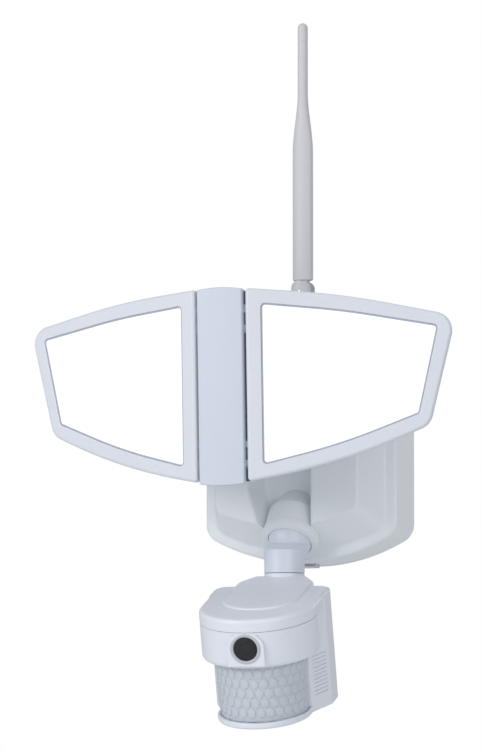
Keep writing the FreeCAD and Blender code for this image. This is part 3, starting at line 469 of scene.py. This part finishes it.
def makePaintedShadeStrips():
    # near-black strips of painted shade in the gaps beside the spine, standing in for the shadow there, clear
    # of the knuckles the panels turn on
    bm = bmesh.new()
    for low, high in shadeStrip["stretches"]:
        for x in (shadeStrip["inner"], -shadeStrip["outer"]):
            wide = shadeStrip["outer"] - shadeStrip["inner"]
            corners = [(x, low, 0.3), (x + wide, low, 0.3), (x + wide, high, 0.3), (x, high, 0.3)]
            solidOf(bm, [(corners, -shadeStrip["deep"]), (corners, -shadeStrip["front"])])
    finishPiece("paintedGapShadeStrips", bm, headPlace @ upright, paint["paintedGapShade"], "lamp_head")


for side, word in ((-1, "left"), (1, "right")):
    makePanelFrame(side, word)
    makePanelSeal(side, word)
    makePanelWindow(side, word)
makeSpineCover()
makePaintedShadeStrips()
print("lamp head made")


aerial = {"at": (0, -25, 0), "foot": 112.4, "halfWidth": 7.25, "halfThick": 4.6, "shoulder": 199.0,
          "neck": 241.0, "whip": 3.45, "seam": 275.6, "tip": 288.0, "hingeZ": 104.0,
          "tongueHalf": 3.9, "tongueThick": 3.2}


def aerialStations():
    wide, thick, whip = aerial["halfWidth"], aerial["halfThick"], aerial["whip"]
    foot, shoulder, neck, seam, tip = (aerial[k] for k in ("foot", "shoulder", "neck", "seam", "tip"))
    stations = [(foot, wide - 0.7, thick - 0.7), (foot + 0.3, wide - 0.2, thick - 0.2),
                (foot + 0.9, wide, thick), (foot + 30, wide, thick), (shoulder - 4, wide, thick)]
    for step in range(1, 13):
        part = step / 12
        ease = part * part * (3 - 2 * part)
        stations.append((shoulder + (neck - shoulder) * part, wide + (whip - wide) * ease,
                         thick + (whip - thick) * ease))
    stations += [(seam - 0.5, whip, whip), (seam - 0.2, whip - 0.2, whip - 0.2),
                 (seam + 0.2, whip - 0.2, whip - 0.2), (seam + 0.5, whip, whip), (tip - whip, whip, whip)]
    for step in range(1, 8):
        angle = radians(90 * step / 8)
        stations.append((tip - whip + whip * sin(angle), whip * cos(angle), whip * cos(angle)))
    return stations


def makeAerial():
    bm = bmesh.new()
    loops = []
    for z, across, deep in aerialStations():
        ring = bmesh.ops.create_circle(bm, segments=40, radius=1.0, matrix=Matrix.Translation((0, 0, z))
                                       @ Matrix.Diagonal((across, deep, 1, 1)))
        loops.append(list({edge for vert in ring["verts"] for edge in vert.link_edges}))
    bridge(bm, loops)
    cap(bm, loops[0])
    cap(bm, loops[-1])
    half, thick = aerial["tongueHalf"], aerial["tongueThick"]
    low, high = aerial["hingeZ"] - half, aerial["foot"] + 1
    tongue = [(-half, low, 3.8), (half, low, 3.8), (half, high, 0.3), (-half, high, 0.3)]
    before = set(bm.verts)
    solidOf(bm, [(tongue, -thick), (tongue, thick)])
    moved(bm, upright, set(bm.verts) - before)
    finishPiece("aerialBlade", bm, Matrix.Translation(aerial["at"]), paint["aerial"], "aerial",
                ["aerial_blade"])


makeAerial()
print("aerial made")


capShape = {"seam": -8.4, "edgeRound": 2.8, "tongueR": 26.0, "tongueY": -66.0, "tongueTop": 1.2,
            "tongueRound": 2.2, "tailHalf": 17.0, "tailY": -9.0, "collarR": 13.5, "collarTop": -87.15,
            "tongueFoot": -6.0, "shoulderY": -24, "collarDepth": 12, "boreR": 8.2}


def barrelPlan(radius, back, cornerRadius=7.0):
    y = sensor["barrelY"]
    return [(-radius, y - radius, radius), (radius, y - radius, radius), (radius, back, cornerRadius),
            (-radius, back, cornerRadius)]


def makeTopCap():
    bm = bmesh.new()
    plan = barrelPlan(sensor["barrelR"], sensor["backY"])
    solidOf(bm, [(plan, capShape["seam"]), (plan, 0)], [(1, capShape["edgeRound"])])
    r, y = capShape["tongueR"], capShape["tongueY"]
    tail, tailY = capShape["tailHalf"], capShape["tailY"]
    tongue = [(-r, y - r, r), (r, y - r, r), (r, capShape["shoulderY"], 14.0), (tail, tailY, 3.0),
              (-tail, tailY, 3.0), (-r, capShape["shoulderY"], 14.0)]
    solidOf(bm, [(tongue, capShape["tongueFoot"]), (tongue, capShape["tongueTop"])],
            [(1, capShape["tongueRound"])])
    moved(bm, sensorPlace)
    geometry = bm.verts[:] + bm.edges[:] + bm.faces[:]
    ring, top = capShape["collarR"], capShape["collarTop"]
    sliced = bmesh.ops.bisect_plane(bm, geom=geometry, plane_co=(0, 0, top), plane_no=(0, 0, 1),
                                    clear_outer=True)
    rim = [item for item in sliced["geom_cut"] if isinstance(item, bmesh.types.BMEdge)]
    bmesh.ops.contextual_create(bm, geom=rim)
    foot, bore = top - capShape["collarDepth"], capShape["boreR"]
    collar = [(ring, foot), (ring, top - 0.5), (ring - 0.5, top), (bore, top), (bore, foot), (ring, foot)]
    before = set(bm.verts)
    lathe(bm, collar)
    moved(bm, Matrix.Translation((0, sensor["at"][1], 0)), set(bm.verts) - before)
    finishPiece("sensorTopCap", bm, Matrix.Identity(4), paint["sensorShell"], "sensor_head",
                ["sensor_top_cap"])


band = {"top": -8.7, "bottom": -33.2, "edgeRound": 3.2, "wall": 2.5, "mouth": 30.6, "cutY": -70.5,
        "windowHalf": 8.8, "windowY": -90}
pad = {"half": 12.5, "top": -8.9, "bottom": -31.4, "proud": 0.5, "depth": 6.0, "edgeRound": 0.7,
       "lensZ": -19.3, "bore": 9.9}


def makeCameraBand():
    bm = bmesh.new()
    outer = barrelPlan(sensor["barrelR"], -60, 1.0)
    inner = barrelPlan(sensor["barrelR"] - band["wall"], -62, 1.0)
    mouth = barrelPlan(band["mouth"], -62, 1.0)
    top, bottom = band["top"], band["bottom"]
    rings = [(outer, top), (outer, bottom), (mouth, bottom), (mouth, bottom + 1.6), (inner, bottom + 3.0),
             (inner, top)]
    loops = [outline(bm, corners, z, 24) for corners, z in rings]
    bridge(bm, loops, closed=True)
    roundOff(bm, loops[1], band["edgeRound"], 6)
    geometry = bm.verts[:] + bm.edges[:] + bm.faces[:]
    sliced = bmesh.ops.bisect_plane(bm, geom=geometry, plane_co=(0, band["cutY"], 0), plane_no=(0, 1, 0),
                                    clear_outer=True)
    bmesh.ops.holes_fill(bm, edges=[e for e in bm.edges if e.is_boundary], sides=0)
    half, level = band["windowHalf"], pad["lensZ"]                  # room for the camera behind its pad
    for spot, way in (((-half, 0, 0), (1, 0, 0)), ((half, 0, 0), (1, 0, 0)),
                      ((0, 0, level - half), (0, 0, 1)), ((0, 0, level + half), (0, 0, 1))):
        geometry = bm.verts[:] + bm.edges[:] + bm.faces[:]
        bmesh.ops.bisect_plane(bm, geom=geometry, plane_co=spot, plane_no=way)
    middles = {f: f.calc_center_median() for f in bm.faces}
    window = [f for f, middle in middles.items() if abs(middle.x) < half and middle.y < band["windowY"]
              and abs(middle.z - level) < half]
    bmesh.ops.delete(bm, geom=window, context="FACES")
    bmesh.ops.bridge_loops(bm, edges=[e for e in bm.edges if e.is_boundary])
    finishPiece("cameraBand", bm, sensorPlace, paint["sensorShell"], "sensor_head",
                ["camera_band"])


def lensPlace():
    face = sensor["barrelY"] - sensor["barrelR"] - pad["proud"]
    return sensorPlace @ Matrix.Translation((0, face, pad["lensZ"])) @ upright


def makeCameraPad():
    bm = bmesh.new()
    half, top, bottom = pad["half"], pad["top"] - pad["lensZ"], pad["bottom"] - pad["lensZ"]
    arch = [(-half, bottom, 1.0), (half, bottom, 1.0), (half, top, top * 0.98), (-half, top, top * 0.98)]
    front, back = outline(bm, arch, 0), outline(bm, arch, -pad["depth"])
    holes = []
    for z in (0, -pad["depth"]):
        ring = bmesh.ops.create_circle(bm, segments=68, radius=pad["bore"],
                                       matrix=Matrix.Translation((0, 0, z)))
        holes.append(list({edge for vert in ring["verts"] for edge in vert.link_edges}))
    bridge(bm, [holes[0], front, back, holes[1]], closed=True)
    roundOff(bm, front, pad["edgeRound"])
    finishPiece("cameraPad", bm, lensPlace(), paint["sensorShell"], "sensor_head")


# (radius, height) profiles about the camera's axis
cameraProfiles = {
    "cameraRing": [(8.0, -3.0), (8.0, 0.1), (8.3, 0.6), (8.9, 0.85), (9.6, 0.75), (10.0, 0.4), (10.1, -0.2),
                   (10.1, -3.0), (8.0, -3.0)],
    "cameraBarrel": [(0, -8.0), (7.9, -8.0), (7.9, -0.5), (7.4, -0.3), (6.9, -0.5), (5.6, -1.1), (5.5, -1.6),
                     (4.9, -1.7), (4.4, -2.4), (3.9, -2.5), (3.7, -3.1), (2.9, -3.3), (2.7, -3.8), (0, -3.8)],
    "cameraPupil": [(0, -3.0), (0.9, -3.05), (1.8, -3.3), (2.5, -3.75), (2.5, -4.4), (0, -4.4)],
    "cameraGlass": [(0, 0.35), (2.5, 0.3), (5.0, 0.15), (7.0, -0.1), (7.85, -0.25), (7.85, -0.45),
                    (6.5, -0.35), (3.5, -0.1), (0, 0.05)],
}


def makeCameraLens():
    for name, look, slot, stands in (("cameraRing", "ringGrey", "camera_black", ["camera_ring"]),
                                     ("cameraBarrel", "lensBlack", "camera_black", ["camera_optic"]),
                                     ("cameraPupil", "lensPupil", "camera_black", []),
                                     ("cameraGlass", "glass", "camera_clear", ["camera_glass"])):
        bm = bmesh.new()
        lathe(bm, cameraProfiles[name])
        finishPiece(name, bm, lensPlace(), paint[look], "sensor_head", stands)


lens = {"radius": 29.9, "footRadius": 28.8, "top": -31.8, "foot": -72.4, "wall": 1.6, "reach": 103.0,
        "pitch": 6.3, "stretch": 1.22, "rows": 5, "columns": 15, "proud": 0.7, "firstRow": -39.0}


def makeSegmentLens():
    bm = bmesh.new()
    span = 2 * radians(lens["reach"])
    wide, narrow, wall = lens["radius"], lens["footRadius"], lens["wall"]
    profile = [(narrow, lens["foot"]), (wide, lens["top"]), (wide - wall, lens["top"]),
               (narrow - wall, lens["foot"])]
    points = [bm.verts.new((radius, 0, z)) for radius, z in profile]
    face = bm.faces.new(points)
    bmesh.ops.rotate(bm, cent=(0, 0, 0), matrix=Matrix.Rotation(-pi / 2 - span / 2, 3, "Z"), verts=points)
    bmesh.ops.spin(bm, geom=[face], cent=(0, 0, 0), axis=up, angle=span, steps=56)
    moved(bm, Matrix.Translation((0, sensor["barrelY"], 0)))
    bmesh.ops.remove_doubles(bm, verts=bm.verts, dist=0.0005)
    # honeycomb of small raised facets, drawn flat and then wrapped round the lens
    size = lens["pitch"] / sqrt(3)
    for row in range(-1, lens["rows"]):
        for column in range(lens["columns"]):
            across = (column - (lens["columns"] - 1) / 2 + 0.5 * (row % 2) - 0.25) * lens["pitch"]
            level = lens["firstRow"] - row * size * 1.5 * lens["stretch"]
            before = set(bm.verts)
            bmesh.ops.create_cone(bm, cap_ends=True, segments=6, radius1=size * 0.97, radius2=size * 0.74,
                                  depth=2 * lens["proud"])
            tile = set(bm.verts) - before
            sides = {face for vert in tile for face in vert.link_faces}
            crown = max(sides, key=lambda f: f.calc_center_median().z)
            bmesh.ops.inset_region(bm, faces=[crown], thickness=size * 0.3, depth=0.15)
            tile = set(bm.verts) - before
            for vert in tile:
                x, y, z = vert.co
                along = across + x
                height = level + y * lens["stretch"]
                height = min(max(height, lens["foot"] + 2.0), lens["top"])
                share = (height - lens["foot"]) / (lens["top"] - lens["foot"])
                radius = narrow + (wide - narrow) * share + z - 0.1
                angle = along / wide
                vert.co = (radius * sin(angle), sensor["barrelY"] - radius * cos(angle), height)
    finishPiece("segmentLens", bm, sensorPlace, paint["film"], "sensor_head", ["fresnel_lens"],
                even=False)


rear = {"half": 39.4, "bevelY": -52.0, "frontY": -72.0, "frontX": 30.6, "backY": -30.0, "top": -1.0,
        "bottom": -74.5, "wall": 2.4, "slots": 11, "slotPitch": 2.6, "slotHigh": 0.9, "slotTop": -38.0,
        "slotDepth": 0.7, "slotShare": 0.72, "leastWing": 12}


def rearPlan(grow=0.0):
    half, front = rear["half"] - grow, rear["frontX"] - grow * 0.3
    frontY, back = rear["frontY"] + grow * 0.6, rear["backY"] - grow
    return [(-half, rear["bevelY"], 3.0), (-front, frontY, 1.5), (front, frontY, 1.5),
            (half, rear["bevelY"], 3.0), (half, back, 7.0 - grow), (-half, back, 7.0 - grow)]


def bevelFaces(bm):
    # the outward faces of the bevels that lead from the sides to the lens
    bevelMiddle = Vector((0, rear["bevelY"]))
    found = []
    for face in bm.faces:
        middle = face.calc_center_median()
        turned = abs(face.normal.x) > 0.5 and abs(face.normal.y) > 0.2
        outward = face.normal.xy.dot(middle.xy - bevelMiddle) > 0
        if turned and outward and face.calc_area() > rear["leastWing"] and abs(middle.x) > rear["frontX"]:
            found.append(face)
    return found


def makeRearShell():
    bm = bmesh.new()
    outer, inner = rearPlan(), rearPlan(rear["wall"])
    rings = [(outer, rear["bottom"]), (outer, rear["top"]), (inner, rear["top"]), (inner, rear["bottom"])]
    loops = [outline(bm, corners, z) for corners, z in rings]
    bridge(bm, loops, closed=True)
    roundOff(bm, loops[1], 0.8, 3)
    firstCentre = rear["slotTop"] - rear["slotHigh"] / 2
    centres = [firstCentre - slot * rear["slotPitch"] for slot in range(rear["slots"])]
    for centre in centres:
        for level in (centre + rear["slotHigh"] / 2, centre - rear["slotHigh"] / 2):
            geometry = list({item for f in bevelFaces(bm) for item in (f, *f.edges, *f.verts)})
            bmesh.ops.bisect_plane(bm, geom=geometry, plane_co=(0, 0, level), plane_no=(0, 0, 1))
    slots = [f for f in bevelFaces(bm)
             if any(abs(f.calc_center_median().z - centre) < 0.05 for centre in centres)]
    bmesh.ops.inset_individual(bm, faces=slots, thickness=0.0001, depth=0)
    for slot in slots:
        bmesh.ops.scale(bm, vec=(rear["slotShare"], rear["slotShare"], 1), verts=slot.verts,
                        space=Matrix.Translation(-slot.calc_center_median()))
    bmesh.ops.inset_individual(bm, faces=slots, thickness=0.15, depth=-rear["slotDepth"])
    finishPiece("sensorRearShell", bm, sensorPlace, paint["sensorShell"], "sensor_head",
                ["sensor_rear_shell"])


base = {"lipHalf": 31.2, "lipFront": 33.9, "lipTop": -71.2, "bottom": -75.3, "lipBack": -70.0}


def makeSensorBase():
    bm = bmesh.new()
    lip = barrelPlan(base["lipHalf"], base["lipBack"] + 2, 1.0)
    inner = barrelPlan(base["lipHalf"] - 1.4, base["lipBack"] + 1, 1.0)
    floor = base["lipTop"] - 1.2
    rings = [(shifted(lip, 0.9), base["bottom"]), (lip, base["bottom"] + 0.9), (lip, base["lipTop"]),
             (inner, base["lipTop"]), (inner, floor)]
    loops = [outline(bm, corners, z) for corners, z in rings]
    bridge(bm, loops)
    cap(bm, loops[0])
    cap(bm, loops[-1])
    roundOff(bm, loops[2], 0.9, 3)
    roundOff(bm, loops[1], 0.6, 3)
    bow, middle = base["lipFront"] / base["lipHalf"], sensor["barrelY"]
    for vert in bm.verts:
        if vert.co.y < middle:
            vert.co.y = middle + (vert.co.y - middle) * bow
    solidOf(bm, [(rearPlan(), base["bottom"]), (rearPlan(), rear["bottom"] - 0.05)], [(0, 0.35)])
    solidOf(bm, [(rearPlan(2.6), rear["bottom"] - 0.2), (rearPlan(2.6), rear["bottom"] + 2.4)])
    finishPiece("sensorBase", bm, sensorPlace, paint["sensorShell"], "sensor_head",
                ["sensor_base"])


makeTopCap()
makeCameraBand()
makeCameraPad()
makeCameraLens()
makeSegmentLens()
makeRearShell()
makeSensorBase()
print("sensor head made")


finishes = {
    "housing": ["housing_shell", "back_plate"],
    "sealBlack": ["wall_gasket", "housing_seal"],
    "steel": ["case_screws", "spine_screws", "panel_pins", "aerial_pin", "pan_clip", "left_panel_screws",
              "right_panel_screws", "motion_detector"],
    "board": ["driver_board", "control_board", "camera_board", "sensor_board", "left_panel_led_board",
              "right_panel_led_board"],
    "blackParts": ["driver_parts", "control_chips", "card_slot", "speaker"],
    "doorGrey": ["terminal_block", "service_door", "reset_button"],
    "seat": ["lamp_clamp", "sensor_clamp", "lamp_seat", "sensor_seat", "pan_bush"],
    "brass": ["aerial_connector"],
    "aerial": ["aerial_knuckle"],
    "arm": ["lamp_arm", "sensor_elbow"],
    "head": ["spine_frame"],
    "heatSink": ["left_panel_back", "right_panel_back"],
    "reflector": ["left_panel_reflector", "right_panel_reflector"],
    "ledYellow": ["left_panel_leds", "right_panel_leds"],
}
for finish, names in finishes.items():
    for name in names:
        for materialSlot in nodes[name].material_slots:
            materialSlot.material = paint[finish]
print("CAD nodes finished")


stage = {"floorZ": -0.45, "floorSize": 12.0, "floorColour": (0.86, 0.86, 0.86, 1)}
view = {"azimuth": 23.0, "elevation": -4.8, "distance": 3.6, "aim": (0.0125, -0.1617, 0.0375), "lens": 265.3}
lights = {
    "keyLight": {"at": (-1.5, -2.7, 0.9), "size": 1.5, "power": 40},
    "fillLight": {"at": (2.0, -2.0, 0.1), "size": 2.0, "power": 24},
    "topLight": {"at": (0.2, -0.8, 2.4), "size": 2.2, "power": 11},
    "backLight": {"at": (0.3, 2.4, 1.2), "size": 2.0, "power": 12},
}
sky = {"colour": (0.93, 0.96, 1.0, 1), "strength": 0.42}    # what lights the object; the camera sees white


def makeStage():
    bm = bmesh.new()
    bmesh.ops.create_grid(bm, x_segments=1, y_segments=1, size=stage["floorSize"] / 2,
                          matrix=Matrix.Translation((0, 0, stage["floorZ"])))
    mesh = bpy.data.meshes.new("floor")
    bm.to_mesh(mesh)
    bm.free()
    floor = bpy.data.objects.new("floor", mesh)
    bpy.context.scene.collection.objects.link(floor)
    material, tree, shader = newMaterial("paleFloor")
    shader.inputs["Base Color"].default_value = stage["floorColour"]
    shader.inputs["Roughness"].default_value = 0.8
    mesh.materials.append(material)


def makeLights():
    for name, setting in lights.items():
        data = bpy.data.lights.new(name, "AREA")
        data.size = setting["size"]
        data.energy = setting["power"]
        lamp = bpy.data.objects.new(name, data)
        lamp.location = setting["at"]
        lamp.rotation_euler = (-Vector(setting["at"])).to_track_quat("-Z", "Y").to_euler()
        bpy.context.scene.collection.objects.link(lamp)


def makeWorld():
    world = bpy.data.worlds.new("studio")
    world.use_nodes = True
    tree = world.node_tree
    tree.nodes.clear()
    output = addNode(tree, "ShaderNodeOutputWorld")
    seen, lit = addNode(tree, "ShaderNodeBackground"), addNode(tree, "ShaderNodeBackground")
    seen.inputs["Color"].default_value = (1, 1, 1, 1)
    lit.inputs["Color"].default_value = sky["colour"]
    lit.inputs["Strength"].default_value = sky["strength"]
    mix, path = addNode(tree, "ShaderNodeMixShader"), addNode(tree, "ShaderNodeLightPath")
    tree.links.new(path.outputs["Is Camera Ray"], mix.inputs[0])
    tree.links.new(lit.outputs[0], mix.inputs[1])
    tree.links.new(seen.outputs[0], mix.inputs[2])
    tree.links.new(mix.outputs[0], output.inputs[0])
    bpy.context.scene.world = world


def makeCamera():
    azimuth, elevation = radians(view["azimuth"]), radians(view["elevation"])
    back = Vector((sin(azimuth) * cos(elevation), -cos(azimuth) * cos(elevation), sin(elevation)))
    across = Vector((cos(azimuth), sin(azimuth), 0))
    upward = back.cross(across)
    turn = Matrix((across, upward, back)).transposed().to_4x4()
    data = bpy.data.cameras.new("viewCamera")
    data.lens = view["lens"]
    data.sensor_width = 36
    data.clip_end = 50
    camera = bpy.data.objects.new("viewCamera", data)
    camera.matrix_world = Matrix.Translation(Vector(view["aim"]) + back * view["distance"]) @ turn
    bpy.context.scene.collection.objects.link(camera)
    bpy.context.scene.camera = camera


makeStage()
makeLights()
makeWorld()
makeCamera()
bpy.context.scene.view_settings.view_transform = "Standard"
print("stage, light and camera made")
